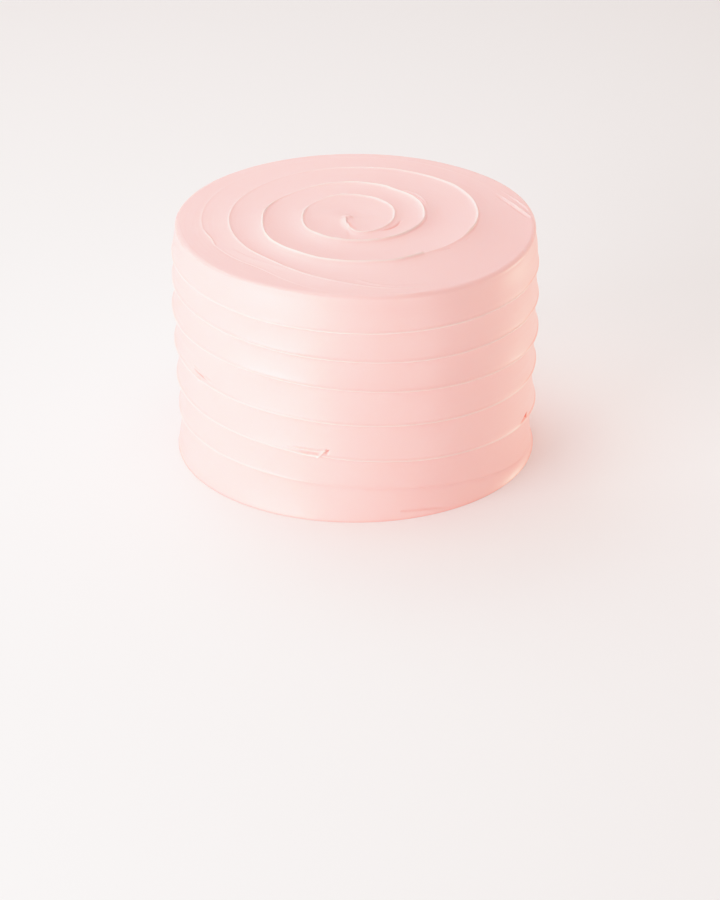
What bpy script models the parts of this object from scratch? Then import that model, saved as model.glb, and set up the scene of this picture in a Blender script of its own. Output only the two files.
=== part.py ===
"""Buttercream cake: a tall round layer cake, iced all over with one spatula.

The cake is one uncut solid, 166 mm across and 111 mm high. The edge of the spatula has left one
raised ridge on its skin. On the top the ridge is a spiral, from a curl near the middle out to the
rim, and on the side it is a helix that winds down from the rim to the foot. Between neighbouring
turns lies a shallow groove as wide as the blade. One flank of the ridge falls away slowly, and
the other one is a step.

The skin is a loft whose rows of vertices run along that ridge, so every crest is a clean edge.
A column of the loft is a slice at one angle. Angles are in degrees, counter-clockwise seen from
above: 0 is the right (+X), 90 the back (+Y), 180 the left and 270 the front. They keep counting
up along the ridge, so 450 is the back again, one turn later.
"""

import bmesh
import bpy
import numpy as np

MM = 0.001
TURN = 360.0
QUARTER = 90.0

# The whole cake
HEIGHT = 111.4 * MM
FOOT_RADIUS = 79.7 * MM               # bottom of the grooves on the side, at the foot
FLARE = 0.021                         # and how much wider it gets per unit of height
RIM_RADIUS = 80.5 * MM
NECK = 0.9 * MM                       # right under the rim the side is drawn in by this much
NECK_HEIGHT = 9.0 * MM
COLUMNS = 96                          # slices round the cake
BAND_SHARES = (0.0, 0.07, 0.15, 0.55)   # places of the rows across a groove, from its steep side
BAND_ROWS = len(BAND_SHARES)
EDGE_ROWS = 2                         # rows over the rounded rim
FULL_GROOVE = 9.0 * MM                # turns closer than this have a shallower groove between them
STEP_WIDTH = 2.4 * MM                 # the ridge's steep flank: below it on the side, inside it on the top
STEP_PART = 0.8                       # share of the ridge's height that the step takes up on the side
TOP_STEP_PART = 0.2                   # and on the top
TOP_FLANK = 17.0 * MM                 # width of the ridge's outer flank on the top

# Ridge on the top. Each row is one turn: its distance in mm from the stroke's own centre,
# to the right, back, left and front.
TOP_TURNS = (
    (21.4, 24.6, 19.6, 29.9),
    (35.3, 39.6, 39.1, 48.5),
    (55.5, 62.7, 57.3, 59.2),
    (54.3, 60.0, 53.2, 46.9),
)
TOP_START = 270.0
TOP_END = TOP_START + TURN * len(TOP_TURNS)
STROKE_CENTRE = (0.8 * MM, -1.6 * MM)  # of the whole stroke, from the middle of the cake
CURL_CENTRE = (-4.8 * MM, 4.0 * MM)   # the first turn circles this point, from the stroke's centre
DRIFT_FROM, DRIFT_TO = 630.0, 1350.0  # and the next two drift to the stroke's centre
CURL_OPENING = 5.5                    # degrees in which the curl opens out
SWING = 16.7 * MM                     # the last turn swings out towards the rim
SWING_FROM, SWING_TO = 1305.0, 1385.0
RUN_OUT_FROM = 1665.0                 # here the ridge fades, and its line leaves over the rim
# Height of the ridge on the top in mm, at the same places
TOP_CRESTS = (
    (1.4, 1.1, 1.7, 1.9),
    (1.9, 1.2, 1.8, 1.9),
    (1.9, 0.7, 1.2, 0.7),
    (0.0, 0.2, 0.35, 0.0),
)
GONE_FROM, GONE_TO = 1335.0, 1390.0   # from the front to the right of the last turn it is smoothed away
KINK = 0.9 * MM                       # at the back right the second turn runs closer in
KINK_FROM, KINK_TO = 706.0, 784.0
BULGE = 2.4 * MM                      # and at the front left it runs further out
BULGE_FROM, BULGE_TO = 905.0, 1030.0
FAINT = 0.65                          # at the back left every turn is lower by this share
FAINT_AT, FAINT_SPREAD = 135.0, 45.0

# Ridge on the side. Each row is one turn: its height in mm above the foot,
# every sixth of a turn from the back right, over the back, left and front, to the right.
SIDE_TURNS = (
    (101.0, 99.5, 97.2, 93.7, 91.0, 91.2),
    (89.3, 87.3, 85.4, 81.3, 76.5, 75.9),
    (74.1, 72.2, 70.4, 67.8, 62.1, 59.3),
    (57.4, 55.4, 53.4, 50.3, 45.6, 42.6),
    (40.8, 38.9, 37.0, 33.9, 27.6, 23.2),
    (22.4, 21.6, 20.7, 19.2, 13.2, 3.9),
)
SIDE_START = 60.0
SIDE_END = SIDE_START + TURN * len(SIDE_TURNS)
# How far it stands out in mm, at the left and at the right of each turn.
SIDE_CRESTS = ((0.8, 1.0), (1.3, 1.6), (1.9, 2.3), (1.5, 2.0), (1.3, 2.6), (1.2, 1.2))
FOOT_CREST = 2.6 * MM                 # the foot is spread out against what the cake rests on
SIDE_FADE_IN = (75.0, 165.0)
SIDE_FADE_OUT = (2080.0, 2150.0)

# Rim
EDGE_ROUND = 1.0 * MM
SOFT_EDGE = 1.2 * MM                  # at the front right the rim is rounder
SLUMP = 2.4 * MM                      # and lower
SLUMP_AT, SLUMP_SPREAD = 318.0, 75.0
SLUMP_REACH = 0.7                     # share of the radius where the top starts to fall away
RIM_DENTS = ((40.0, 42.0, 1.6 * MM), (200.0, 28.0, 0.9 * MM))   # angle, spread, depth

ICING_PINK = (0.98, 0.57, 0.545, 1.0)
ICING_ROUGHNESS = 0.5
EDGE_ANGLE = 50.0                     # degrees; only the foot is a sharp edge


def smoothstep(start, end, value):
    """0 up to start, 1 from end, and smooth between them."""
    share = np.clip((value - start) / (end - start), 0.0, 1.0)
    return share * share * (3.0 - 2.0 * share)


def hump(angle, centre, spread):
    """1 at the centre angle, falling smoothly to 0 at spread degrees on both sides."""
    away = (angle - centre + TURN / 2.0) % TURN - TURN / 2.0
    return 0.5 + 0.5 * np.cos(np.pi * np.clip(away / spread, -1.0, 1.0))


def through(values, position):
    """Smooth curve through equally spaced values, read at positions 0, 1, 2 and between."""
    values = np.asarray(values, dtype=float).ravel()
    slopes = np.gradient(values)
    position = np.clip(position, 0.0, len(values) - 1.0)
    first = np.minimum(position.astype(int), len(values) - 2)
    share = position - first
    rise = share * share * (3.0 - 2.0 * share)
    leave = share * (1.0 - share) ** 2
    arrive = share * share * (share - 1.0)
    level = values[first] * (1.0 - rise) + values[first + 1] * rise
    return level + slopes[first] * leave + slopes[first + 1] * arrive


def polar(radius, angle):
    """X and Y of a point at this radius and angle."""
    return radius * np.cos(np.radians(angle)), radius * np.sin(np.radians(angle))


def edge_round(angle):
    """Radius of the rim's rounded edge."""
    return EDGE_ROUND + SOFT_EDGE * hump(angle, SLUMP_AT, SLUMP_SPREAD)


def flat_radius(angle):
    """Where the flat of the top ends and the rounded rim begins."""
    radius = RIM_RADIUS - edge_round(angle)
    for centre, spread, depth in RIM_DENTS:
        radius = radius - depth * hump(angle, centre, spread)
    return radius


def top_level(x, y):
    """Height of the bottom of the grooves on the top."""
    angle = np.degrees(np.arctan2(y, x))
    share = np.hypot(x, y) / RIM_RADIUS
    slump = SLUMP * smoothstep(SLUMP_REACH, 1.0, share) * hump(angle, SLUMP_AT, SLUMP_SPREAD)
    return HEIGHT - np.max(TOP_CRESTS) * MM - slump


def side_top(angle):
    """Height of the side's upper end, under the rounded rim."""
    x, y = polar(RIM_RADIUS, angle)
    return top_level(x, y) - edge_round(angle)


def side_radius(angle, level):
    """Radius of the bottom of the grooves at this angle and height."""
    neck = 1.0 - smoothstep(0.0, NECK_HEIGHT, side_top(angle) - level)
    return FOOT_RADIUS + FLARE * level - NECK * neck


def spiral(angle):
    """The ridge on the top, at an angle along it: x, y and the height of its crest."""
    radius = through(TOP_TURNS, (angle - TURN) / QUARTER) * MM
    radius = radius + SWING * smoothstep(SWING_FROM, SWING_TO, angle)
    inward = smoothstep(KINK_FROM, KINK_FROM + 25.0, angle)
    inward = inward - smoothstep(KINK_TO - 8.0, KINK_TO, angle)
    outward = smoothstep(BULGE_FROM, BULGE_FROM + 40.0, angle)
    outward = outward - smoothstep(BULGE_TO - 25.0, BULGE_TO, angle)
    radius = radius + BULGE * outward - KINK * inward
    opening = 1.0 - np.exp((TOP_START - angle) / CURL_OPENING)
    run_out = smoothstep(RUN_OUT_FROM, TOP_END, angle)
    radius = radius * opening
    radius = radius + (flat_radius(angle) - radius) * run_out
    drift = 1.0 - smoothstep(DRIFT_FROM, DRIFT_TO, angle)
    x, y = polar(radius, angle)
    shown = 1.0 - smoothstep(RUN_OUT_FROM - 40.0, RUN_OUT_FROM - 15.0, angle)
    gone = smoothstep(GONE_FROM, GONE_TO, angle) - smoothstep(GONE_TO + 50.0, GONE_TO + 110.0, angle)
    shown = shown * (1.0 - gone) * (1.0 - FAINT * hump(angle, FAINT_AT, FAINT_SPREAD))
    crest = through(TOP_CRESTS, (angle - TURN) / QUARTER) * MM * opening ** 2 * shown
    held = 1.0 - run_out
    x = x + STROKE_CENTRE[0] * held + CURL_CENTRE[0] * drift
    y = y + STROKE_CENTRE[1] * held + CURL_CENTRE[1] * drift
    return x, y, crest


def helix(angle):
    """The ridge on the side, at an angle along it: its height, and how far it stands out."""
    level = through(SIDE_TURNS, (angle - SIDE_START) / (TURN / len(SIDE_TURNS[0]))) * MM
    start = side_top(angle)
    level = start + (level - start) * smoothstep(SIDE_START, SIDE_FADE_IN[1], angle)
    touch_down = smoothstep(SIDE_FADE_OUT[0], SIDE_END, angle)
    level = level * (1.0 - touch_down)
    shown = smoothstep(*SIDE_FADE_IN, angle) * (1.0 - smoothstep(*SIDE_FADE_OUT, angle))
    crest = through(SIDE_CRESTS, (angle - TURN / 2.0) / (TURN / 2.0)) * MM * shown
    crest = crest + (FOOT_CREST - crest) * touch_down
    return level, crest


def step_left(share, width, part):
    """Share of the ridge's height left on its steep flank, at this share of the groove's width."""
    step = np.maximum(0.0, 1.0 - share * width / STEP_WIDTH) ** 2
    return part * step + (1.0 - part) * (1.0 - share) ** 2


def fill_bands(lines, steep_first):
    """Rows between neighbouring lines of the ridge, each line an array of (places..., crest).

    One flank of the ridge falls away slowly. The other one is a step, steep_first where it is the
    flank towards the next line. Where two lines come together, the
    groove between them runs out.
    """
    rows = []
    shares = BAND_SHARES if steep_first else [0.0] + [1.0 - share for share in BAND_SHARES[:0:-1]]
    for near, far in zip(lines, lines[1:]):
        width = np.linalg.norm((far - near)[:-1], axis=0)
        groove = np.minimum(width / FULL_GROOVE, 1.0)
        for share in shares:
            place = near + (far - near) * share
            if steep_first:
                relief = near[-1] * step_left(share, width, STEP_PART) + far[-1] * share ** 2
            else:
                flank = np.maximum(0.0, 1.0 - share * width / TOP_FLANK) ** 3
                relief = near[-1] * flank + far[-1] * step_left(1.0 - share, width, TOP_STEP_PART)
            place[-1] = place[-1] + (relief - place[-1]) * groove
            rows.append(place)
    rows.append(lines[-1])
    return np.array(rows)


def top_points(angles):
    """Rows of points from the curl to the edge of the flat top, at one turn of angles."""
    none = 0.0 * angles
    middle_x = STROKE_CENTRE[0] + CURL_CENTRE[0]
    middle_y = STROKE_CENTRE[1] + CURL_CENTRE[1]
    lines = [np.array([none + middle_x, none + middle_y, none])]
    for turn in range(len(TOP_TURNS)):
        lines.append(np.array(spiral(angles + TURN * turn)))
    edge_x, edge_y = polar(flat_radius(angles), angles)
    lines.append(np.array([edge_x, edge_y, none]))
    x, y, relief = np.moveaxis(fill_bands(lines, steep_first=False), 1, 0)
    return np.stack([x, y, top_level(x, y) + relief], axis=-1)


def side_points(angles):
    """Rows of points from under the rim down to the foot, at one turn of angles."""
    none = 0.0 * angles
    lines = [np.array([side_top(angles), none])]
    for turn in range(len(SIDE_TURNS)):
        lines.append(np.array(helix(angles + TURN * turn)))
    lines.append(np.array([none, none + FOOT_CREST]))
    level, relief = np.moveaxis(fill_bands(lines, steep_first=True), 1, 0)
    x, y = polar(side_radius(angles, level) + relief, angles)
    return np.stack([x, y, level], axis=-1)


def edge_points(flat_edge, side_edge):
    """Rows over the rounded rim, between the flat of the top and the side."""
    rows = []
    for row in range(1, EDGE_ROWS):
        turn = 0.5 * np.pi * row / EDGE_ROWS
        point = side_edge + (flat_edge - side_edge) * (1.0 - np.sin(turn))
        point[:, 2] = side_edge[:, 2] + (flat_edge[:, 2] - side_edge[:, 2]) * np.cos(turn)
        rows.append(point)
    return rows


def start_at(ring, shift):
    """The same ring of items, starting from another column."""
    return ring[shift:] + ring[:shift]


def add_ring(bm, points):
    """New vertices at a ring of points."""
    return [bm.verts.new(point) for point in points]


def add_faces(bm, left, right):
    """Faces between two columns of vertices, leaving out corners that fall together."""
    for row in range(len(left) - 1):
        corners = dict.fromkeys((left[row], left[row + 1], right[row + 1], right[row]))
        if len(corners) > 2:
            bm.faces.new(corners)


def add_wound_skin(bm, points, start_ring, end_ring):
    """Skin of a section that the ridge winds through, between two rings of vertices.

    After one turn each line of the ridge meets the next one, so the last column joins the
    first one a band further on. The ridge starts and ends at the first column, at the rings.
    """
    columns = []
    for column, (start, end) in enumerate(zip(start_ring, end_ring)):
        if column == 0:
            inner = [start] * BAND_ROWS + add_ring(bm, points[BAND_ROWS + 1:-1, 0])
        else:
            inner = add_ring(bm, points[1:-1, column])
        columns.append([start] + inner + [end])
    columns.append(columns[0][BAND_ROWS:] + [end_ring[0]] * BAND_ROWS)
    for left, right in zip(columns, columns[1:]):
        add_faces(bm, left, right)


def ring_column(angle):
    """Number of the column at an angle, counted from the right."""
    return round(angle / TURN * COLUMNS) % COLUMNS


def build_skin(bm):
    """The whole closed skin: top, rim, side and underside."""
    round_angles = TURN * np.arange(COLUMNS) / COLUMNS
    top = top_points(round_angles + TOP_START)
    side = side_points(round_angles + SIDE_START)
    top_shift = ring_column(TOP_START)
    side_shift = ring_column(SIDE_START)

    flat_edge = np.roll(top[-1], top_shift, axis=0)
    side_edge = np.roll(side[0], side_shift, axis=0)
    rings = [add_ring(bm, points) for points in (flat_edge, *edge_points(flat_edge, side_edge), side_edge)]
    foot_ring = add_ring(bm, side[-1])
    pole = [bm.verts.new(top[0, 0])] * COLUMNS

    add_wound_skin(bm, top, pole, start_at(rings[0], top_shift))
    for upper, lower in zip(rings, rings[1:]):
        for column in range(COLUMNS):
            following = (column + 1) % COLUMNS
            bm.faces.new((upper[column], lower[column], lower[following], upper[following]))
    add_wound_skin(bm, side, start_at(rings[-1], side_shift), foot_ring)
    bm.faces.new(foot_ring)
    bmesh.ops.recalc_face_normals(bm, faces=bm.faces)


def centre_on_outline(bm):
    """Put the origin under the middle of the cake's outline."""
    places = np.array([vert.co for vert in bm.verts])
    middle = (places.min(axis=0) + places.max(axis=0)) / 2.0
    bmesh.ops.translate(bm, verts=bm.verts, vec=(-middle[0], -middle[1], 0.0))


def icing_material():
    """Pale pink buttercream, smooth and slightly glossy."""
    material = bpy.data.materials.new("buttercream")
    material.use_nodes = True
    shader = material.node_tree.nodes["Principled BSDF"]
    shader.inputs["Base Color"].default_value = ICING_PINK
    shader.inputs["Roughness"].default_value = ICING_ROUGHNESS
    shader.inputs["Metallic"].default_value = 0.0
    return material


def make_cake(collection):
    """The iced cake as one closed solid, standing on its underside at the origin."""
    bm = bmesh.new()
    build_skin(bm)
    centre_on_outline(bm)
    mesh = bpy.data.meshes.new("buttercream_cake")
    bm.to_mesh(mesh)
    bm.free()
    mesh.materials.append(icing_material())
    mesh.shade_smooth()
    mesh.set_sharp_from_angle(angle=np.radians(EDGE_ANGLE))
    cake = bpy.data.objects.new("buttercream_cake", mesh)
    collection.objects.link(cake)
    return cake


def main():
    for existing in list(bpy.data.objects):
        bpy.data.objects.remove(existing)
    collection = bpy.data.collections.new("Buttercream cake")
    bpy.context.scene.collection.children.link(collection)
    make_cake(collection)


main()
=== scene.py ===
"""Looks of the buttercream cake: the skin of its icing in fine mesh, under soft studio light.

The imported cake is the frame. One piece replaces its solid: the same form, with what a spatula
leaves on real buttercream: thin lips along the ridge, streaks, scratches and a torn tail. The
skin is a loft whose rows of vertices run along the ridge. A column of the loft is a slice at one
angle. Angles are in degrees, counter-clockwise seen from above: 0 is the right (+X), 90 the back
(+Y), 180 the left and 270 the front. They keep counting up along the ridge, turn after turn.
"""

import functools
import math

import bmesh
import bpy
import numpy as np
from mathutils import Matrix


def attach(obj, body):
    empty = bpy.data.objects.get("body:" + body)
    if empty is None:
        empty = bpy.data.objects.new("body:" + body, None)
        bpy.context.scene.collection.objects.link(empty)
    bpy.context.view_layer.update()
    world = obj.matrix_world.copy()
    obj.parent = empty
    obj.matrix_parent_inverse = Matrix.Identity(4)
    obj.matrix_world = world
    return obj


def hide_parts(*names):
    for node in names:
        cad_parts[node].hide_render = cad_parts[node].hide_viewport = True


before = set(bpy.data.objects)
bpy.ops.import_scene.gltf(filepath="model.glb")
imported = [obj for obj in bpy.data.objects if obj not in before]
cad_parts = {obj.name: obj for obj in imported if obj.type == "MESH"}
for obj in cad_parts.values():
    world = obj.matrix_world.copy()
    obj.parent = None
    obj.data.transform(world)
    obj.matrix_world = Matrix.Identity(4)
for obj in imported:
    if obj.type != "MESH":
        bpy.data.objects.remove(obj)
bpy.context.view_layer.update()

MM = 0.001
TURN = 360.0
QUARTER = 90.0

# The whole cake
HEIGHT = 111.4 * MM
FOOT_RADIUS = 79.7 * MM               # bottom of the grooves on the side, at the foot
FLARE = 0.021                         # and how much wider it gets per unit of height
RIM_RADIUS = 80.5 * MM
NECK = 0.9 * MM                       # right under the rim the side is drawn in by this much
NECK_HEIGHT = 9.0 * MM
FULL_GROOVE = 9.0 * MM                # turns closer than this have a shallower groove between them
STEP_WIDTH = 2.4 * MM                 # the ridge's steep flank: under it on the side, inside it on top
STEP_PART = 0.8                       # share of the ridge's height that the step takes up on the side
TOP_STEP_PART = 0.2                   # and on the top
TOP_FLANK = 17.0 * MM                 # width of the ridge's outer flank on the top

# Ridge on the top. Each row is one turn: its distance in mm from the stroke's own centre,
# to the right, back, left and front.
TOP_TURNS = (
    (21.4, 24.6, 19.6, 29.9),
    (35.3, 39.6, 39.1, 48.5),
    (55.5, 62.7, 57.3, 59.2),
    (54.3, 60.0, 53.2, 46.9),
)
TOP_START = 270.0
TOP_END = TOP_START + TURN * len(TOP_TURNS)
STROKE_CENTRE = (0.8 * MM, -1.6 * MM)  # of the whole stroke, from the middle of the cake
CURL_CENTRE = (-4.8 * MM, 4.0 * MM)   # the first turn circles this point, from the stroke's centre
DRIFT_FROM, DRIFT_TO = 630.0, 1350.0  # and the next two drift to the stroke's centre
CURL_OPENING = 5.5                    # degrees in which the curl opens out
SWING = 16.7 * MM                     # the last turn swings out towards the rim
SWING_FROM, SWING_TO = 1305.0, 1385.0
TOP_FADE_OUT = (1625.0, 1650.0)       # here the ridge fades away
RUN_OUT_FROM = 1665.0                 # and from here its line leaves over the rim
# Height of the ridge on the top in mm, at the same places
TOP_CRESTS = (
    (1.4, 1.1, 1.7, 1.9),
    (1.9, 1.2, 1.8, 1.9),
    (1.9, 0.7, 1.2, 0.7),
    (0.0, 0.2, 0.35, 0.0),
)
# A stretch of the ridge: the angles it lies between, and the degrees in which it comes and goes
GONE = (1335.0, 1500.0, 55.0, 60.0)   # round the right the ridge is smoothed away
KINK = 0.9 * MM                       # at the back right the second turn runs closer in
KINK_STRETCH = (706.0, 784.0, 25.0, 8.0)
BULGE = 2.4 * MM                      # and at the front left it runs further out
BULGE_STRETCH = (905.0, 1030.0, 40.0, 25.0)
FAINT = 0.65                          # at the back left every turn is lower by this share
FAINT_AT, FAINT_SPREAD = 135.0, 45.0

# Ridge on the side. Each row is one turn: its height in mm above the foot,
# every sixth of a turn from the back right, over the back, left and front, to the right.
SIDE_TURNS = (
    (101.0, 99.5, 97.2, 93.7, 91.0, 91.2),
    (89.3, 87.3, 85.4, 81.3, 76.5, 75.9),
    (74.1, 72.2, 70.4, 67.8, 62.1, 59.3),
    (57.4, 55.4, 53.4, 50.3, 45.6, 42.6),
    (40.8, 38.9, 37.0, 33.9, 27.6, 23.2),
    (22.4, 21.6, 20.7, 19.2, 13.2, 3.9),
)
SIDE_START = 60.0
SIDE_END = SIDE_START + TURN * len(SIDE_TURNS)
# How far it stands out in mm, at the left and at the right of each turn.
SIDE_CRESTS = ((0.8, 1.0), (1.3, 1.6), (1.9, 2.3), (1.5, 2.0), (1.3, 2.6), (1.2, 1.2))
FOOT_CREST = 2.6 * MM                 # the foot is spread out against what the cake rests on
SIDE_FADE_IN = (75.0, 165.0)
SIDE_FADE_OUT = (2080.0, 2150.0)

# Rim
EDGE_ROUND = 1.0 * MM
SOFT_EDGE = 1.2 * MM                  # at the front right the rim is rounder
SLUMP = 2.4 * MM                      # and lower
SLUMP_AT, SLUMP_SPREAD = 318.0, 75.0
SLUMP_REACH = 0.7                     # share of the radius where the top starts to fall away
RIM_DENTS = ((40.0, 42.0, 1.6 * MM), (200.0, 28.0, 0.9 * MM))   # angle, spread, depth

# Colours of the buttercream
PALE_PINK = (0.99, 0.585, 0.56, 1.0)
PINK = (0.98, 0.555, 0.53, 1.0)
STREAK_PINK = (1.0, 0.66, 0.62, 1.0)
HIGHLIGHT_PINK = (1.0, 0.83, 0.78, 1.0)     # painted highlight: the pink at a painted light of 1
SHADE_PINK = (0.95, 0.16, 0.09, 1.0)   # painted shade: the pink at a painted light of -1
STREAKS_PER_METRE = 800.0
CLOUDS_PER_METRE = 34.0               # patches of the uneven pink
GRAINS_PER_METRE = 900.0
BUBBLES_PER_METRE = 110.0
STREAK_SHARE = 0.14                   # share of the streaks' own pink where they are palest
GLOSSY, DULL = 0.36, 0.5              # roughness, at the two ends of a streak's noise

ARC = FOOT_RADIUS / MM * math.pi / 180.0   # mm along the side per degree

# Fine mesh
COLUMNS = 432                         # slices round the cake
BAND_SHARES = (0.0, 0.016, 0.034, 0.055, 0.085, 0.13, 0.22, 0.38, 0.57, 0.74, 0.86, 0.93, 0.964, 0.984)
BAND_ROWS = len(BAND_SHARES)
EDGE_ROWS = 8                         # rows over the rounded rim

# Lip: the thin raised burr that the spatula's edge leaves along the crest
TOP_LIPS = (                          # its height in mm on the top, at the places of TOP_TURNS
    (0.7, 0.7, 0.9, 1.1),
    (0.9, 0.8, 1.0, 0.95),
    (0.9, 0.3, 0.3, 0.25),
    (0.0, 0.1, 0.1, 0.0),
)
LIP_GAP = (1026.0, 1062.0, 1.5, 12.0)   # stretch where it is torn off
LIP_TORN = 0.9                        # by this share
SIDE_LIP = 0.62 * MM
LIP_HALF_WIDTH = 0.4 * MM
LAST_LIP = (2035.0, 2065.0)           # on the side's last turn it runs out between these angles
LIP_GRAIN = 7.0                       # degrees between changes in the lip
LIP_CHANGE = 0.3                      # share of its height that comes and goes
LIP_SEEDS = (3, 5)                    # of these changes, on the top and on the side
LIP_HIGHLIGHT = 1.25                   # painted highlight: so much paler per mm of the lip's height
PALEST_HIGHLIGHT = 0.75                         # but the painted highlight is no paler than this

# Cut: the fine groove beside the lip, on the gentle flank of the ridge. Its pink is deeper: painted shade
# in the groove.
CUT_AT, CUT_WIDTH = 0.6 * MM, 0.3 * MM
CUT_DEPTH = 0.2 * MM
TOP_CUT_AND_SHADE = 0.2                         # how deep the cut and its painted shade are on the top
# The cut and its painted shade are strongest at the right of the top, away from the key light
TOP_CUT_AT, TOP_CUT_SPREAD = 5.0, 55.0
SIDE_CUT_AND_SHADE = 0.6                        # how deep the cut and its painted shade are on the side
SIDE_CUT_LEAST = 0.15                 # share of it that is there all round
# and at the far right of the side, also away from the key light
SIDE_CUT_AT, SIDE_CUT_SPREAD = 350.0, 25.0
SIDE_LIP_LOSS = 0.75                  # share of the lip, and so of its painted highlight, that is missing where the cut is deepest
FOOT_SHADE = 0.3                       # painted shade: the icing is deeper pink along the foot, where it meets the plate
FOOT_LINE = 0.6 * MM

# Unevenness
HAND_DEPTH = 0.12 * MM                # slow waves of the hand, over the whole skin
HAND_END = 0.9                        # share of the radius where they start to fade on the top
HAND_MARGIN = 8.0 * MM                # and how near the ends of the side
STREAK_DEPTH = 0.05 * MM              # faint streaks along the stroke
STREAK_GRAIN = 24.0                   # degrees between changes in a streak
STREAK_RISE = 12.0                    # how fast they come in beside the ridge, which has none

# Marks that the spatula has left beside the ridge. Each is a low fold along a way of points, in
# mm: to the right and back on the top, degrees and height on the side. Then come its half widths
# on the left and right of that way, its heights from start to end, and its painted light: how much
# paler its pink is, a painted highlight, or, below 0, how much deeper, a painted shade.
TOP_MARKS = (
    #     the curl's fold, its peak and its lip with painted highlights, the groove of painted shade beside
    #     it, and the hollow next to it
    (((-23.0, 15.0), (-16.0, 10.0), (-10.5, 5.0), (-6.0, 1.0)),
     7.0, 7.0, (0.2, 0.6, 0.9, 0.9), 0.0),
    (((-5.4, 2.4), (-3.2, 1.6), (-1.6, 2.2)),
     0.7, 0.8, (0.4, 1.1, 0.5), 0.2),
    (((-4.4, -1.0), (-4.2, -5.0), (-2.6, -10.5), (0.6, -14.8), (5.0, -16.2)),
     0.5, 1.6, (0.9, 1.2, 1.1, 0.8, 0.2), 0.35),
    (((-2.6, -4.0), (-2.0, -7.5), (0.2, -11.0)),
     0.5, 0.5, (-0.4, -0.5, -0.2), -0.45),
    (((-6.0, 12.0), (0.0, 8.0), (5.0, 6.0), (11.0, 5.0)),
     5.0, 4.0, (-0.2, -0.7, -0.6, -0.1), 0.0),
    #     the undercut of the first turn, with painted shade in it
    (((20.2, -3.0), (18.6, -7.4), (15.6, -11.4), (12.0, -14.0)),
     0.4, 0.4, (-0.3, -0.7, -0.7, -0.2), -0.35),
    #     a second burr outside the second turn, with a painted highlight, and the groove inside it, with
    #     painted shade
    (((21.8, 33.8), (24.9, 30.7), (28.1, 26.7), (30.8, 21.6), (32.4, 15.8)),
     0.35, 0.35, (0.2, 0.8, 0.9, 0.7, 0.1), 0.4),
    (((22.6, 31.8), (26.2, 26.8), (29.5, 20.2), (31.0, 15.0)),
     0.3, 0.3, (-0.1, -0.4, -0.4, -0.1), -0.4),
    #     the torn end of the lip, with a painted highlight, and the fine groove that goes on from it, with
    #     painted shade
    (((27.0, -39.6), (29.2, -38.2), (30.2, -38.6)),
     0.6, 0.5, (0.3, 0.5, 0.1), 0.3),
    (((31.5, -40.0), (37.3, -37.4), (42.2, -33.8), (46.6, -28.5), (50.6, -22.5)),
     0.3, 0.3, (0.0, -0.1, -0.35, -0.45, -0.1), -0.25),
    #     scratches near the rim, at the left and then at the right, with painted highlights, and painted
    #     shade in the last one
    (((-67.4, -11.5), (-66.2, -15.5), (-63.8, -21.5), (-61.8, -28.5)),
     0.35, 0.35, (0.1, 0.4, 0.6, 0.1), 0.4),
    (((65.1, 31.0), (70.6, 21.3), (74.8, 13.3), (79.0, 5.5)),
     0.4, 0.4, (0.1, 0.4, 0.6, 0.3), 0.5),
    (((67.6, 33.6), (72.4, 25.5), (76.8, 16.6), (79.6, 9.6)),
     0.4, 0.4, (0.1, 0.25, 0.4, 0.2), 0.4),
    (((64.0, 29.6), (69.4, 20.0), (73.8, 11.8), (77.8, 4.6)),
     0.4, 0.4, (0.0, -0.4, -0.5, -0.1), -0.2),
    #     faint folds along the front of the rim, the first with a painted highlight
    (((-53.9, -34.2), (-45.7, -42.9), (-33.0, -53.0), (-10.7, -63.1)),
     0.7, 1.6, (0.03, 0.08, 0.08, 0.03), 0.3),
    (((1.0, -65.6), (8.0, -69.2), (17.0, -69.9), (30.1, -66.3)),
     0.6, 1.0, (0.1, 0.3, 0.2, 0.1), 0.0),
    (((15.0, -76.8), (23.5, -76.2), (32.1, -72.6)),
     0.8, 0.6, (0.1, 0.3, 0.1), 0.0),
)
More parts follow.
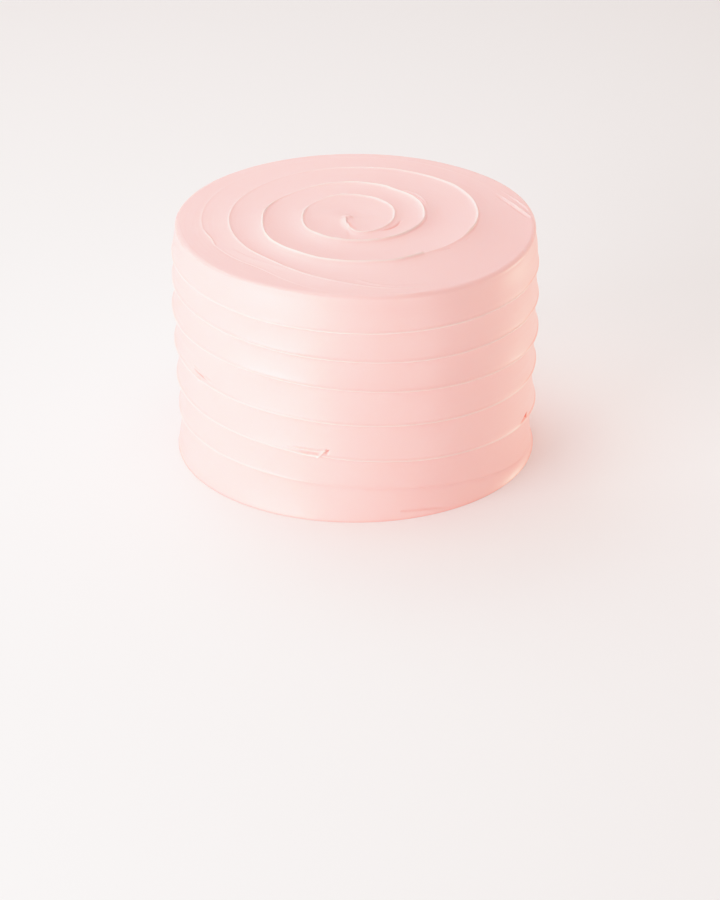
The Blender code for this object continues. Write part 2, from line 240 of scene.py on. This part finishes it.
SIDE_MARKS = (
    #     the torn tail at the front: its upper and lower edge and the folded end, with painted highlights,
    #         and the grooves of painted shade
    (((248.5, 35.4), (252.5, 34.8), (256.5, 34.5), (259.2, 34.4), (260.6, 35.0)),
     0.4, 0.4, (0.1, 0.8, 1.0, 1.0, 0.8), 0.5),
    (((253.0, 33.4), (256.0, 33.1), (258.4, 32.9)),
     0.4, 0.4, (-0.2, -0.5, -0.5), -0.25),
    (((250.5, 32.8), (253.5, 32.3), (256.0, 31.8), (258.5, 31.5)),
     0.4, 0.4, (0.1, 0.8, 1.0, 1.1), 0.5),
    (((258.2, 31.3), (259.5, 33.0), (260.8, 35.0)),
     0.4, 0.35, (0.5, 0.8, 0.6), 0.4),
    (((261.1, 33.4), (261.7, 34.6)),
     0.4, 0.4, (-0.5, -0.6), -0.65),
    (((259.6, 31.2), (262.4, 31.0)),
     0.35, 0.4, (-0.5, -0.2), -0.35),
    #     the nick at the left, with painted shade in it, and its raised edges, with painted highlights
    (((208.8, 54.7), (211.2, 54.3), (214.0, 53.9), (216.6, 53.6)),
     0.25, 0.25, (-0.2, -0.7, -0.8, -0.2), -0.7),
    (((209.0, 56.0), (212.4, 55.4)),
     0.4, 0.4, (0.6, 0.6), 0.5),
    (((215.6, 54.6), (218.8, 53.8)),
     0.4, 0.4, (0.6, 0.5), 0.5),
    (((210.0, 52.6), (213.4, 52.0)),
     0.4, 0.4, (0.5, 0.5), 0.5),
    #     the small cut at the right, and its end, with deep painted shade in both
    (((334.5, 25.2), (337.2, 25.7), (339.4, 26.1), (341.0, 26.4)),
     0.4, 0.4, (-0.2, -0.5, -0.8, -0.5), -1.0),
    (((339.3, 25.6), (340.4, 26.0)),
     0.5, 0.5, (-0.5, -0.5), -1.8),
    #     a faint groove at the foot, with painted shade in it
    (((284.5, 3.5), (290.0, 3.1), (296.0, 2.1), (301.0, 1.2)),
     0.5, 0.5, (-0.3, -0.35, -0.35, -0.1), -0.35),
)
MARK_SAMPLES = 40                     # places along a mark's way
MARK_REACH = 3.0                      # half widths from its way to its end
FINE_REACH = 2.0                      # half widths in which the mesh is made finer
FINE_GRAIN = 0.42 * MM                # as long as its edges are longer than this
FINE_PASSES = 3
WIDE_MARK = 2.0                       # marks with a wider half need no finer mesh


def smoothstep(start, end, value):
    """0 up to start, 1 from end, and smooth between them."""
    share = np.clip((value - start) / (end - start), 0.0, 1.0)
    return share * share * (3.0 - 2.0 * share)


def stretch(start, end, rise, fall, angle):
    """1 between two angles: it comes in the first rise degrees and goes in the last fall degrees."""
    return smoothstep(start, start + rise, angle) - smoothstep(end - fall, end, angle)


def hump(angle, centre, spread):
    """1 at the centre angle, falling smoothly to 0 at spread degrees on both sides."""
    away = (angle - centre + TURN / 2.0) % TURN - TURN / 2.0
    return 0.5 + 0.5 * np.cos(np.pi * np.clip(away / spread, -1.0, 1.0))


def through(values, position):
    """Smooth curve through equally spaced values, read at positions 0, 1, 2 and between."""
    values = np.asarray(values, dtype=float).ravel()
    slopes = np.gradient(values)
    position = np.clip(position, 0.0, len(values) - 1.0)
    first = np.minimum(position.astype(int), len(values) - 2)
    share = position - first
    rise = share * share * (3.0 - 2.0 * share)
    leave = share * (1.0 - share) ** 2
    arrive = share * share * (share - 1.0)
    level = values[first] * (1.0 - rise) + values[first + 1] * rise
    return level + slopes[first] * leave + slopes[first + 1] * arrive


def ripple(seed, position):
    """Smooth random curve between 0 and 1, with a new value at every whole position."""
    values = np.random.default_rng(seed).random(1024)
    return through(values, position % 1020.0)


def polar(radius, angle):
    """X and Y of a point at this radius and angle."""
    return radius * np.cos(np.radians(angle)), radius * np.sin(np.radians(angle))


def edge_round(angle):
    """Radius of the rim's rounded edge."""
    return EDGE_ROUND + SOFT_EDGE * hump(angle, SLUMP_AT, SLUMP_SPREAD)


def flat_radius(angle):
    """Where the flat of the top ends and the rounded rim begins."""
    radius = RIM_RADIUS - edge_round(angle)
    for centre, spread, depth in RIM_DENTS:
        radius = radius - depth * hump(angle, centre, spread)
    return radius


def top_level(x, y):
    """Height of the bottom of the grooves on the top."""
    angle = np.degrees(np.arctan2(y, x))
    share = np.hypot(x, y) / RIM_RADIUS
    slump = SLUMP * smoothstep(SLUMP_REACH, 1.0, share) * hump(angle, SLUMP_AT, SLUMP_SPREAD)
    return HEIGHT - np.max(TOP_CRESTS) * MM - slump


def side_top(angle):
    """Height of the side's upper end, under the rounded rim."""
    x, y = polar(RIM_RADIUS, angle)
    return top_level(x, y) - edge_round(angle)


def side_radius(angle, level):
    """Radius of the bottom of the grooves at this angle and height."""
    neck = 1.0 - smoothstep(0.0, NECK_HEIGHT, side_top(angle) - level)
    return FOOT_RADIUS + FLARE * level - NECK * neck


def spiral(angle):
    """The ridge on the top, at an angle along it: x, y, its crest, its lip and its cut, which also sets
    the cut's painted shade.
    """
    radius = through(TOP_TURNS, (angle - TURN) / QUARTER) * MM
    radius = radius + SWING * smoothstep(SWING_FROM, SWING_TO, angle)
    radius = radius + BULGE * stretch(*BULGE_STRETCH, angle) - KINK * stretch(*KINK_STRETCH, angle)
    opening = 1.0 - np.exp((TOP_START - angle) / CURL_OPENING)
    run_out = smoothstep(RUN_OUT_FROM, TOP_END, angle)
    radius = radius * opening
    radius = radius + (flat_radius(angle) - radius) * run_out
    drift = 1.0 - smoothstep(DRIFT_FROM, DRIFT_TO, angle)
    x, y = polar(radius, angle)
    shown = 1.0 - smoothstep(*TOP_FADE_OUT, angle)
    shown = shown * (1.0 - stretch(*GONE, angle)) * (1.0 - FAINT * hump(angle, FAINT_AT, FAINT_SPREAD))
    crest = through(TOP_CRESTS, (angle - TURN) / QUARTER) * MM * opening ** 2 * shown
    lip = through(TOP_LIPS, (angle - TURN) / QUARTER) * MM * opening * shown
    lip = lip * (1.0 - LIP_TORN * stretch(*LIP_GAP, angle))
    lip = lip * (1.0 - LIP_CHANGE * ripple(LIP_SEEDS[0], angle / LIP_GRAIN))
    cut = TOP_CUT_AND_SHADE * hump(angle, TOP_CUT_AT, TOP_CUT_SPREAD) * opening * shown
    cut = cut * crest / (np.max(TOP_CRESTS) * MM)
    held = 1.0 - run_out
    x = x + STROKE_CENTRE[0] * held + CURL_CENTRE[0] * drift
    y = y + STROKE_CENTRE[1] * held + CURL_CENTRE[1] * drift
    return x, y, crest, lip, cut


def helix(angle):
    """The ridge on the side, at an angle along it: height, its crest, its lip and its cut, which also sets
    the cut's painted shade.
    """
    level = through(SIDE_TURNS, (angle - SIDE_START) / (TURN / len(SIDE_TURNS[0]))) * MM
    start = side_top(angle)
    level = start + (level - start) * smoothstep(SIDE_START, SIDE_FADE_IN[1], angle)
    touch_down = smoothstep(SIDE_FADE_OUT[0], SIDE_END, angle)
    level = level * (1.0 - touch_down)
    shown = smoothstep(*SIDE_FADE_IN, angle) * (1.0 - smoothstep(*SIDE_FADE_OUT, angle))
    crest = through(SIDE_CRESTS, (angle - TURN / 2.0) / (TURN / 2.0)) * MM * shown
    crest = crest + (FOOT_CREST - crest) * touch_down
    deepest = hump(angle, SIDE_CUT_AT, SIDE_CUT_SPREAD)
    lip = SIDE_LIP * (1.0 - LIP_CHANGE * ripple(LIP_SEEDS[1], angle / LIP_GRAIN)) * shown
    lip = lip * (1.0 - SIDE_LIP_LOSS * deepest) * (1.0 - smoothstep(*LAST_LIP, angle))
    cut = SIDE_CUT_AND_SHADE * (SIDE_CUT_LEAST + (1.0 - SIDE_CUT_LEAST) * deepest) * shown
    return level, crest, lip, cut


def step_left(share, width, part):
    """Share of the ridge's height left on its steep flank, at this share of the groove's width."""
    step = np.maximum(0.0, 1.0 - share * width / STEP_WIDTH) ** 2
    return part * step + (1.0 - part) * (1.0 - share) ** 2


def fill_bands(lines, steep_first):
    """Rows between neighbouring lines of the ridge.

    Each line is an array of (places..., crest, lip, cut), and each row of (places..., relief, painted
    light).
    One flank of the ridge falls away slowly. The other one is a step, steep_first where it is the
    flank towards the next line. Where two lines come together, the groove between them runs out.
    """
    rows = []
    columns = TURN * np.arange(COLUMNS) / COLUMNS
    shares = BAND_SHARES if steep_first else [0.0] + [1.0 - share for share in BAND_SHARES[:0:-1]]
    for band, (near, far) in enumerate(zip(lines, lines[1:])):
        width = np.linalg.norm((far - near)[:-3], axis=0)
        groove = np.minimum(width / FULL_GROOVE, 1.0)
        for row, share in enumerate(shares):
            from_near = share * width
            from_far = width - from_near
            place = (near + (far - near) * share)[:-1]
            if steep_first:
                relief = near[-3] * step_left(share, width, STEP_PART) + far[-3] * share ** 2
                cut = far[-1] * np.exp(-((from_far - CUT_AT) / CUT_WIDTH) ** 2)
            else:
                flank = np.maximum(0.0, 1.0 - from_near / TOP_FLANK) ** 3
                relief = near[-3] * flank + far[-3] * step_left(1.0 - share, width, TOP_STEP_PART)
                cut = near[-1] * np.exp(-((from_near - CUT_AT) / CUT_WIDTH) ** 2)
            lip = near[-2] * np.exp(-(from_near / LIP_HALF_WIDTH) ** 2)
            lip = np.maximum(lip, far[-2] * np.exp(-(from_far / LIP_HALF_WIDTH) ** 2))
            streak = ripple(row, (columns + TURN * band) / STREAK_GRAIN) - 0.5
            between = min(1.0, STREAK_RISE * share * (1.0 - share))
            fine = lip - CUT_DEPTH * cut + STREAK_DEPTH * streak * between
            place[-2] = place[-2] + (relief - place[-2]) * groove + fine
            # Painted light: a highlight on the lip, paler the taller the lip is, and painted shade in the
            # cut
            place[-1] = np.minimum(LIP_HIGHLIGHT * lip / MM, PALEST_HIGHLIGHT) - cut
            rows.append(place)
    rows.append(lines[-1][:-1])
    return np.array(rows)


def hand(x, y, level):
    """Slow unevenness of the hand that spread the icing, in waves 50 to 90 mm long."""
    waves = np.sin(70.0 * x + 45.0 * level + 0.4) * np.sin(90.0 * y - 60.0 * level + 1.1)
    return HAND_DEPTH * (waves + 0.7 * np.sin(130.0 * (x - y) + 100.0 * level))


def top_points(angles):
    """Rows of points from the curl to the edge of the flat top, at one turn of angles."""
    none = 0.0 * angles
    middle_x = STROKE_CENTRE[0] + CURL_CENTRE[0]
    middle_y = STROKE_CENTRE[1] + CURL_CENTRE[1]
    lines = [np.array([none + middle_x, none + middle_y, none, none, none])]
    for turn in range(len(TOP_TURNS)):
        lines.append(np.array(spiral(angles + TURN * turn)))
    edge_x, edge_y = polar(flat_radius(angles), angles)
    lines.append(np.array([edge_x, edge_y, none, none, none]))
    x, y, relief, painted_light = np.moveaxis(fill_bands(lines, steep_first=False), 1, 0)
    inside = 1.0 - smoothstep(HAND_END, 1.0, np.hypot(x, y) / RIM_RADIUS)
    return np.stack([x, y, top_level(x, y) + relief + inside * hand(x, y, 0.0), painted_light], axis=-1)


def side_points(angles):
    """Rows of points from under the rim down to the foot, at one turn of angles."""
    none = 0.0 * angles
    lines = [np.array([side_top(angles), none, none, none])]
    for turn in range(len(SIDE_TURNS)):
        lines.append(np.array(helix(angles + TURN * turn)))
    lines.append(np.array([none, none + FOOT_CREST, none, none]))
    level, relief, painted_light = np.moveaxis(fill_bands(lines, steep_first=True), 1, 0)
    inside = smoothstep(0.0, HAND_MARGIN, level) * smoothstep(0.0, HAND_MARGIN, side_top(angles) - level)
    uneven = inside * hand(*polar(FOOT_RADIUS, angles), level)
    x, y = polar(side_radius(angles, level) + relief + uneven, angles)
    # Painted shade along the foot, where the icing meets the plate
    painted_light = painted_light - FOOT_SHADE * np.exp(-(level / FOOT_LINE) ** 2)
    return np.stack([x, y, level, painted_light], axis=-1)


def edge_points(flat_edge, side_edge):
    """Rows over the rounded rim, between the flat of the top and the side."""
    rows = []
    for row in range(1, EDGE_ROWS):
        turn = 0.5 * np.pi * row / EDGE_ROWS
        point = side_edge + (flat_edge - side_edge) * (1.0 - np.sin(turn))
        point[:, 2] = side_edge[:, 2] + (flat_edge[:, 2] - side_edge[:, 2]) * np.cos(turn)
        rows.append(point)
    return rows


def start_at(ring, shift):
    """The same ring of items, starting from another column."""
    return ring[shift:] + ring[:shift]


def add_ring(bm, points):
    """New vertices at a ring of points, each of them (x, y, z, painted light)."""
    painted_light = bm.verts.layers.float["painted_light"]
    ring = []
    for point in points:
        vert = bm.verts.new(point[:3])
        vert[painted_light] = point[3]
        ring.append(vert)
    return ring


def add_faces(bm, left, right):
    """Faces between two columns of vertices, leaving out corners that fall together."""
    for row in range(len(left) - 1):
        corners = dict.fromkeys((left[row], left[row + 1], right[row + 1], right[row]))
        if len(corners) > 2:
            bm.faces.new(corners)


def add_wound_skin(bm, points, start_ring, end_ring):
    """Skin of a section that the ridge winds through, between two rings of vertices.

    After one turn each line of the ridge meets the next one, so the last column joins the
    first one a band further on. The ridge starts and ends at the first column, at the rings.
    """
    columns = []
    for column, (start, end) in enumerate(zip(start_ring, end_ring)):
        if column == 0:
            inner = [start] * BAND_ROWS + add_ring(bm, points[BAND_ROWS + 1:-1, 0])
        else:
            inner = add_ring(bm, points[1:-1, column])
        columns.append([start] + inner + [end])
    columns.append(columns[0][BAND_ROWS:] + [end_ring[0]] * BAND_ROWS)
    for left, right in zip(columns, columns[1:]):
        add_faces(bm, left, right)


def ring_column(angle):
    """Number of the column at an angle, counted from the right."""
    return round(angle / TURN * COLUMNS) % COLUMNS


def build_skin(bm):
    """The whole closed skin: top, rim, side and underside."""
    round_angles = TURN * np.arange(COLUMNS) / COLUMNS
    top = top_points(round_angles + TOP_START)
    side = side_points(round_angles + SIDE_START)
    top_shift = ring_column(TOP_START)
    side_shift = ring_column(SIDE_START)

    flat_edge = np.roll(top[-1], top_shift, axis=0)
    side_edge = np.roll(side[0], side_shift, axis=0)
    rim = (flat_edge, *edge_points(flat_edge, side_edge), side_edge)
    rings = [add_ring(bm, points) for points in rim]
    foot_ring = add_ring(bm, side[-1])
    pole = add_ring(bm, top[0, :1]) * COLUMNS

    add_wound_skin(bm, top, pole, start_at(rings[0], top_shift))
    for upper, lower in zip(rings, rings[1:]):
        for column in range(COLUMNS):
            following = (column + 1) % COLUMNS
            bm.faces.new((upper[column], lower[column], lower[following], upper[following]))
    add_wound_skin(bm, side, start_at(rings[-1], side_shift), foot_ring)
    bm.faces.new(foot_ring)
    bmesh.ops.recalc_face_normals(bm, faces=bm.faces)


def over_top(places):
    """Places on the top as marks count them, in mm, and which of the places lie there."""
    return places[:, :2] / MM, places[:, 2] > side_top(0.0) - SLUMP


def over_side(places):
    """Places on the side as marks count them, but in mm along the arc, and which lie there.

    A twentieth of the radius further in is the underside or the top.
    """
    x, y, level = places.T
    angle = np.degrees(np.arctan2(y, x)) % TURN
    where = np.stack([angle * ARC, level / MM], axis=-1)
    return where, (np.hypot(x, y) > 0.95 * FOOT_RADIUS) & (level < side_top(angle)) & (level > 0.0)


def all_marks():
    """Each mark as (section, way in mm, half widths, heights, tint)."""
    for way, left, right, heights, painted_light in TOP_MARKS:
        yield over_top, np.array(way), left, right, heights, painted_light
    for way, left, right, heights, painted_light in SIDE_MARKS:
        yield over_side, np.array(way) * (ARC, 1.0), left, right, heights, painted_light


def along_way(way, where):
    """Share of the way nearest to each place, its distance from it, and its side: 1 left, -1 right."""
    shares = np.linspace(0.0, 1.0, MARK_SAMPLES)
    points = np.stack([through(way[:, axis], shares * (len(way) - 1.0)) for axis in range(2)], axis=-1)
    steps = np.diff(points, axis=0)
    offsets = where[:, None, :] - points[None, :-1, :]
    parts = np.clip((offsets * steps).sum(axis=-1) / (steps ** 2).sum(axis=-1), 0.0, 1.0)
    apart = offsets - parts[..., None] * steps
    distances = np.hypot(apart[..., 0], apart[..., 1])
    nearest = distances.argmin(axis=1)
    rows = np.arange(len(where))
    step = steps[nearest]
    apart = apart[rows, nearest]
    side = np.sign(step[:, 0] * apart[:, 1] - step[:, 1] * apart[:, 0])
    return (nearest + parts[rows, nearest]) / (MARK_SAMPLES - 1.0), distances[rows, nearest], side


def near_way(way, where, reach):
    """Which places are near a way: first a box around it, then the distance."""
    low = way.min(axis=0) - reach
    high = way.max(axis=0) + reach
    near = ((where > low) & (where < high)).all(axis=1)
    found = np.flatnonzero(near)
    return found[along_way(way, where[found])[1] < reach]


def refine_marks(bm):
    """Make the mesh finer under the marks."""
    for _ in range(FINE_PASSES):
        bm.verts.ensure_lookup_table()
        places = np.array([vert.co for vert in bm.verts])
        edges = set()
        for section, way, left, right, _, _ in all_marks():
            if max(left, right) > WIDE_MARK:
                continue
            where, inside = section(places)
            where[~inside] = np.inf
            for index in near_way(way, where, FINE_REACH * max(left, right)):
                near = bm.verts[index].link_edges
                edges.update(edge for edge in near if edge.calc_length() > FINE_GRAIN)
        ordered = sorted(edges, key=lambda edge: edge.index)
        bmesh.ops.subdivide_edges(bm, edges=ordered, cuts=1, use_grid_fill=True)
        bm.edges.index_update()


def raise_marks(bm):
    """Raise the marks out of the skin, and paint a highlight or shade on it there, as each mark's painted
    light says.
    """
    bm.verts.ensure_lookup_table()
    places = np.array([vert.co for vert in bm.verts])
    layer = bm.verts.layers.float["painted_light"]
    for section, way, left, right, heights, painted_light in all_marks():
        where, inside = section(places)
        where[~inside] = np.inf
        found = near_way(way, where, MARK_REACH * max(left, right))
        share, distance, side = along_way(way, where[found])
        half_width = np.where(side > 0.0, left, right)
        raised = through(heights, share * (len(heights) - 1.0)) * np.exp(-(distance / half_width) ** 2)
        for index, rise in zip(found, raised):
            vert = bm.verts[index]
            if section is over_top:
                vert.co.z += rise * MM
            else:
                outward = vert.co.xy.normalized() * rise * MM
                vert.co.x += outward.x
                vert.co.y += outward.y
            vert[layer] += painted_light * abs(rise)


def centre_on_outline(bm):
    """Put the origin under the middle of the cake's outline."""
    places = np.array([vert.co for vert in bm.verts])
    middle = (places.min(axis=0) + places.max(axis=0)) / 2.0
    bmesh.ops.translate(bm, verts=bm.verts, vec=(-middle[0], -middle[1], 0.0))


def add_node(tree, kind, values=(), wires=(), **settings):
    """A new node with its settings, its inputs' values and what is wired to its inputs."""
    made = tree.nodes.new(kind)
    for name, value in settings.items():
        setattr(made, name, value)
    for name, value in values:
        made.inputs[name].default_value = value
    for name, source in wires:
        tree.links.new(source, made.inputs[name])
    return made


def icing_material():
    """Pale pink buttercream: soft, slightly translucent, with a satin gloss.

    Fine streaks run along the stroke: round the cake, and never across it. The pink is a little
    uneven. Painted highlights make it paler on the lips and burrs, and painted shade makes it
    deeper in the cuts, grooves and torn places and along the foot. Here and there is the pit of
    a burst air bubble.
    """
    material = bpy.data.materials.new("buttercream")
    material.use_nodes = True
    links = material.node_tree.links
    shader = material.node_tree.nodes["Principled BSDF"]
    node = functools.partial(add_node, material.node_tree)

    def bump(strength, distance, height, normal=None):
        """Normals with the bumps of a height, on top of those of another bump."""
        wires = [("Height", height)]
        if normal:
            wires.append(("Normal", normal))
        values = [("Strength", strength), ("Distance", distance)]
        return node("ShaderNodeBump", values, wires).outputs["Normal"]

    # Noise that changes fast with the radius and the height, and slowly round the cake
    place = node("ShaderNodeTexCoord").outputs["Object"]
    axes = node("ShaderNodeSeparateXYZ", wires=[("Vector", place)]).outputs
    flat = node("ShaderNodeCombineXYZ", wires=[("X", axes["X"]), ("Y", axes["Y"])]).outputs["Vector"]
    radius = node("ShaderNodeVectorMath", wires=[(0, flat)], operation="LENGTH").outputs["Value"]
    heading = node("ShaderNodeVectorMath", wires=[(0, flat)], operation="NORMALIZE").outputs["Vector"]
    heading = node("ShaderNodeSeparateXYZ", wires=[("Vector", heading)]).outputs
    across, down = (
        node("ShaderNodeMath", [(1, STREAKS_PER_METRE)], [(0, source)], operation="MULTIPLY")
        for source in (radius, axes["Z"])
    )
    way = node(
        "ShaderNodeCombineXYZ",
        wires=[("X", heading["X"]), ("Y", heading["Y"]), ("Z", across.outputs["Value"])],
    )
    streaks = node(
        "ShaderNodeTexNoise", [("Scale", 1.0), ("Detail", 3.0)],
        [("Vector", way.outputs["Vector"]), ("W", down.outputs["Value"])], noise_dimensions="4D",
    ).outputs["Fac"]

    # Colour
    cloud = node("ShaderNodeTexNoise", [("Scale", CLOUDS_PER_METRE), ("Detail", 2.0)], [("Vector", place)])
    uneven = node(
        "ShaderNodeMix", [("A", PALE_PINK), ("B", PINK)], [("Factor", cloud.outputs["Fac"])],
        data_type="RGBA",
    )
    streaky = node(
        "ShaderNodeMapRange", [("To Min", 0.0), ("To Max", STREAK_SHARE)], [("Value", streaks)],
    )
    streaked = node(
        "ShaderNodeMix", [("B", STREAK_PINK)],
        [("Factor", streaky.outputs["Result"]), ("A", uneven.outputs["Result"])], data_type="RGBA",
    )
    colour = streaked.outputs["Result"]
    # Painted light from the mesh: paler towards the highlight pink, deeper towards the shade pink
    painted_light = node("ShaderNodeAttribute", attribute_name="painted_light").outputs["Fac"]
    for full, far_colour in ((1.0, HIGHLIGHT_PINK), (-1.0, SHADE_PINK)):
        part = node("ShaderNodeMapRange", [("From Max", full)], [("Value", painted_light)]).outputs["Result"]
        tinted = node(
            "ShaderNodeMix", [("B", far_colour)], [("Factor", part), ("A", colour)], data_type="RGBA",
        )
        colour = tinted.outputs["Result"]
    links.new(colour, shader.inputs["Base Color"])

    # Gloss, which is duller along the streaks
    gloss = node(
        "ShaderNodeMapRange",
        [("From Min", 0.3), ("From Max", 0.7), ("To Min", GLOSSY), ("To Max", DULL)],
        [("Value", streaks)],
    )
    links.new(gloss.outputs["Result"], shader.inputs["Roughness"])

    # Relief that is too fine for the mesh: streaks, grain and pits
    normal = bump(0.35, 0.12 * MM, streaks)
    grain = node("ShaderNodeTexNoise", [("Scale", GRAINS_PER_METRE), ("Detail", 2.0)], [("Vector", place)])
    normal = bump(0.15, 0.05 * MM, grain.outputs["Fac"], normal)
    bubbles = node("ShaderNodeTexVoronoi", [("Scale", BUBBLES_PER_METRE)], [("Vector", place)])
    pits = node(
        "ShaderNodeMapRange", [("From Min", 0.0), ("From Max", 0.05)],
        [("Value", bubbles.outputs["Distance"])], interpolation_type="SMOOTHSTEP",
    )
    normal = bump(0.4, 0.2 * MM, pits.outputs["Result"], normal)
    links.new(normal, shader.inputs["Normal"])
    shader.inputs["Specular IOR Level"].default_value = 0.8
    shader.inputs["Subsurface Weight"].default_value = 0.25
    shader.inputs["Subsurface Radius"].default_value = (1.0, 0.45, 0.35)
    shader.inputs["Subsurface Scale"].default_value = 0.001
    return material


def make_cake():
    """The iced cake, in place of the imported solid."""
    bm = bmesh.new()
    bm.verts.layers.float.new("painted_light")
    build_skin(bm)
    refine_marks(bm)
    raise_marks(bm)
    centre_on_outline(bm)
    mesh = bpy.data.meshes.new("icing")
    bm.to_mesh(mesh)
    bm.free()
    mesh.shade_smooth()
    cake = bpy.data.objects.new("icing", mesh)
    bpy.context.scene.collection.objects.link(cake)
    mesh.materials.append(icing_material())
    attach(cake, "root")
    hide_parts("buttercream_cake")
    return cake


# Studio
CAMERA_PLACE = (0.0021, -1.2425, 0.6372)
CAMERA_PITCH = 27.39                  # degrees below the horizon
CAMERA_LENS, FILM_WIDTH = 120.0, 36.0   # in mm
FLOOR_SIZE = 12.0
FLOOR_COLOUR = (0.96, 0.948, 0.943, 1.0)
# The studio's walls give a soft light all round. It is weaker and warmer from the front right.
DARK_SIDE = (0.6, -0.8, 0.0)
BRIGHT_WALL = (0.79, 0.80, 0.82, 1.0)
DARK_WALL = (0.53, 0.41, 0.355, 1.0)
# Soft lights: name, azimuth and elevation in degrees, distance and size in metres, watts, colour,
# and whether it lights the cake alone. Those are the cards. They stand in for the white plate that
# such a cake is shown on, which throws light back onto it.
SOFT_LIGHTS = (
    ("key", 222.0, 8.9, 1.2, 0.8, 13.8, (1.0, 0.98, 1.0), False),
    ("back light", 120.0, 50.0, 0.9, 0.5, 1.0, (1.0, 0.98, 0.99), False),
    ("top light", 270.0, 85.0, 2.2, 1.4, 7.5, (1.0, 1.0, 1.0), False),
    ("left foot card", 245.0, 4.0, 0.26, 0.06, 0.028, (1.0, 0.98, 0.97), True),
    ("right foot card", 305.0, 4.0, 0.26, 0.06, 0.04, (1.0, 0.98, 0.95), True),
    ("near light", 110.0, 76.0, 0.3, 0.2, 0.1, (1.0, 1.0, 1.0), False),
    ("low card", 15.0, 9.0, 0.45, 0.1, 0.6, (1.0, 0.79, 0.6), True),
)
# The film's response up to its white: light, and the level at which it shows
FILM_WHITE = 2.0
FILM_SHOULDER = (
    (0.25, 0.25), (0.5, 0.5), (0.65, 0.638), (0.745, 0.716), (0.88, 0.83),
    (1.02, 0.913), (1.16, 0.956), (1.33, 0.98), (1.57, 0.991),
)


def make_camera():
    """A long lens at the front, looking down at the cake."""
    data = bpy.data.cameras.new("camera")
    data.lens = CAMERA_LENS
    data.sensor_width = FILM_WIDTH
    camera = bpy.data.objects.new("camera", data)
    camera.location = CAMERA_PLACE
    camera.rotation_euler = (math.radians(QUARTER - CAMERA_PITCH), 0.0, 0.0)
    bpy.context.scene.collection.objects.link(camera)
    bpy.context.scene.camera = camera


def make_floor():
    """The plain pale floor."""
    bpy.ops.mesh.primitive_plane_add(size=FLOOR_SIZE, location=(0.0, 0.0, 0.0))
    floor = bpy.context.object
    floor.name = "floor"
    material = bpy.data.materials.new("floor")
    material.use_nodes = True
    shader = material.node_tree.nodes["Principled BSDF"]
    shader.inputs["Base Color"].default_value = FLOOR_COLOUR
    shader.inputs["Roughness"].default_value = 0.9
    shader.inputs["Specular IOR Level"].default_value = 0.1
    floor.data.materials.append(material)


def add_soft_light(name, azimuth, elevation, distance, size, power, colour, lit):
    """A square soft light that looks at the cake. It lights one collection, or all if it is None."""
    data = bpy.data.lights.new(name, "AREA")
    data.shape = "SQUARE"
    data.size = size
    data.energy = power
    data.color = colour
    light = bpy.data.objects.new(name, data)
    light.visible_camera = False
    light.light_linking.receiver_collection = lit
    x, y = polar(distance * math.cos(math.radians(elevation)), azimuth)
    light.location = (x, y, distance * math.sin(math.radians(elevation)))
    aim = light.location.copy()
    aim.z -= HEIGHT / 2.0
    light.rotation_euler = aim.to_track_quat("Z", "Y").to_euler()
    bpy.context.scene.collection.objects.link(light)


def make_lights(cake):
    """The studio's walls and its soft lights."""
    world = bpy.data.worlds.new("studio")
    world.use_nodes = True
    tree = world.node_tree
    facing = add_node(tree, "ShaderNodeTexCoord").outputs["Generated"]
    towards = add_node(
        tree, "ShaderNodeVectorMath", [(1, DARK_SIDE)], [(0, facing)], operation="DOT_PRODUCT",
    )
    share = add_node(
        tree, "ShaderNodeMapRange", [("From Min", -1.0)], [("Value", towards.outputs["Value"])],
    )
    wall = add_node(
        tree, "ShaderNodeMix", [("A", BRIGHT_WALL), ("B", DARK_WALL)],
        [("Factor", share.outputs["Result"])], data_type="RGBA",
    )
    tree.links.new(wall.outputs["Result"], tree.nodes["Background"].inputs["Color"])
    bpy.context.scene.world = world
    lit_by_cards = bpy.data.collections.new("lit_by_cards")
    lit_by_cards.objects.link(cake)
    for *light, cake_alone in SOFT_LIGHTS:
        add_soft_light(*light, lit_by_cards if cake_alone else None)


def make_film():
    """Film response: straight up to mid tones, with a soft shoulder up to white."""
    view = bpy.context.scene.view_settings
    view.view_transform = "Standard"
    view.use_curve_mapping = True
    mapping = view.curve_mapping
    mapping.white_level = (FILM_WHITE,) * 3
    curve = mapping.curves[3]
    for level, shown in FILM_SHOULDER:
        curve.points.new(level / FILM_WHITE, shown)
    curve.points[0].location = (0.0, 0.0)
    curve.points[-1].location = (1.0, 1.0)
    mapping.update()


icing = make_cake()
make_camera()
make_floor()
make_lights(icing)
make_film()
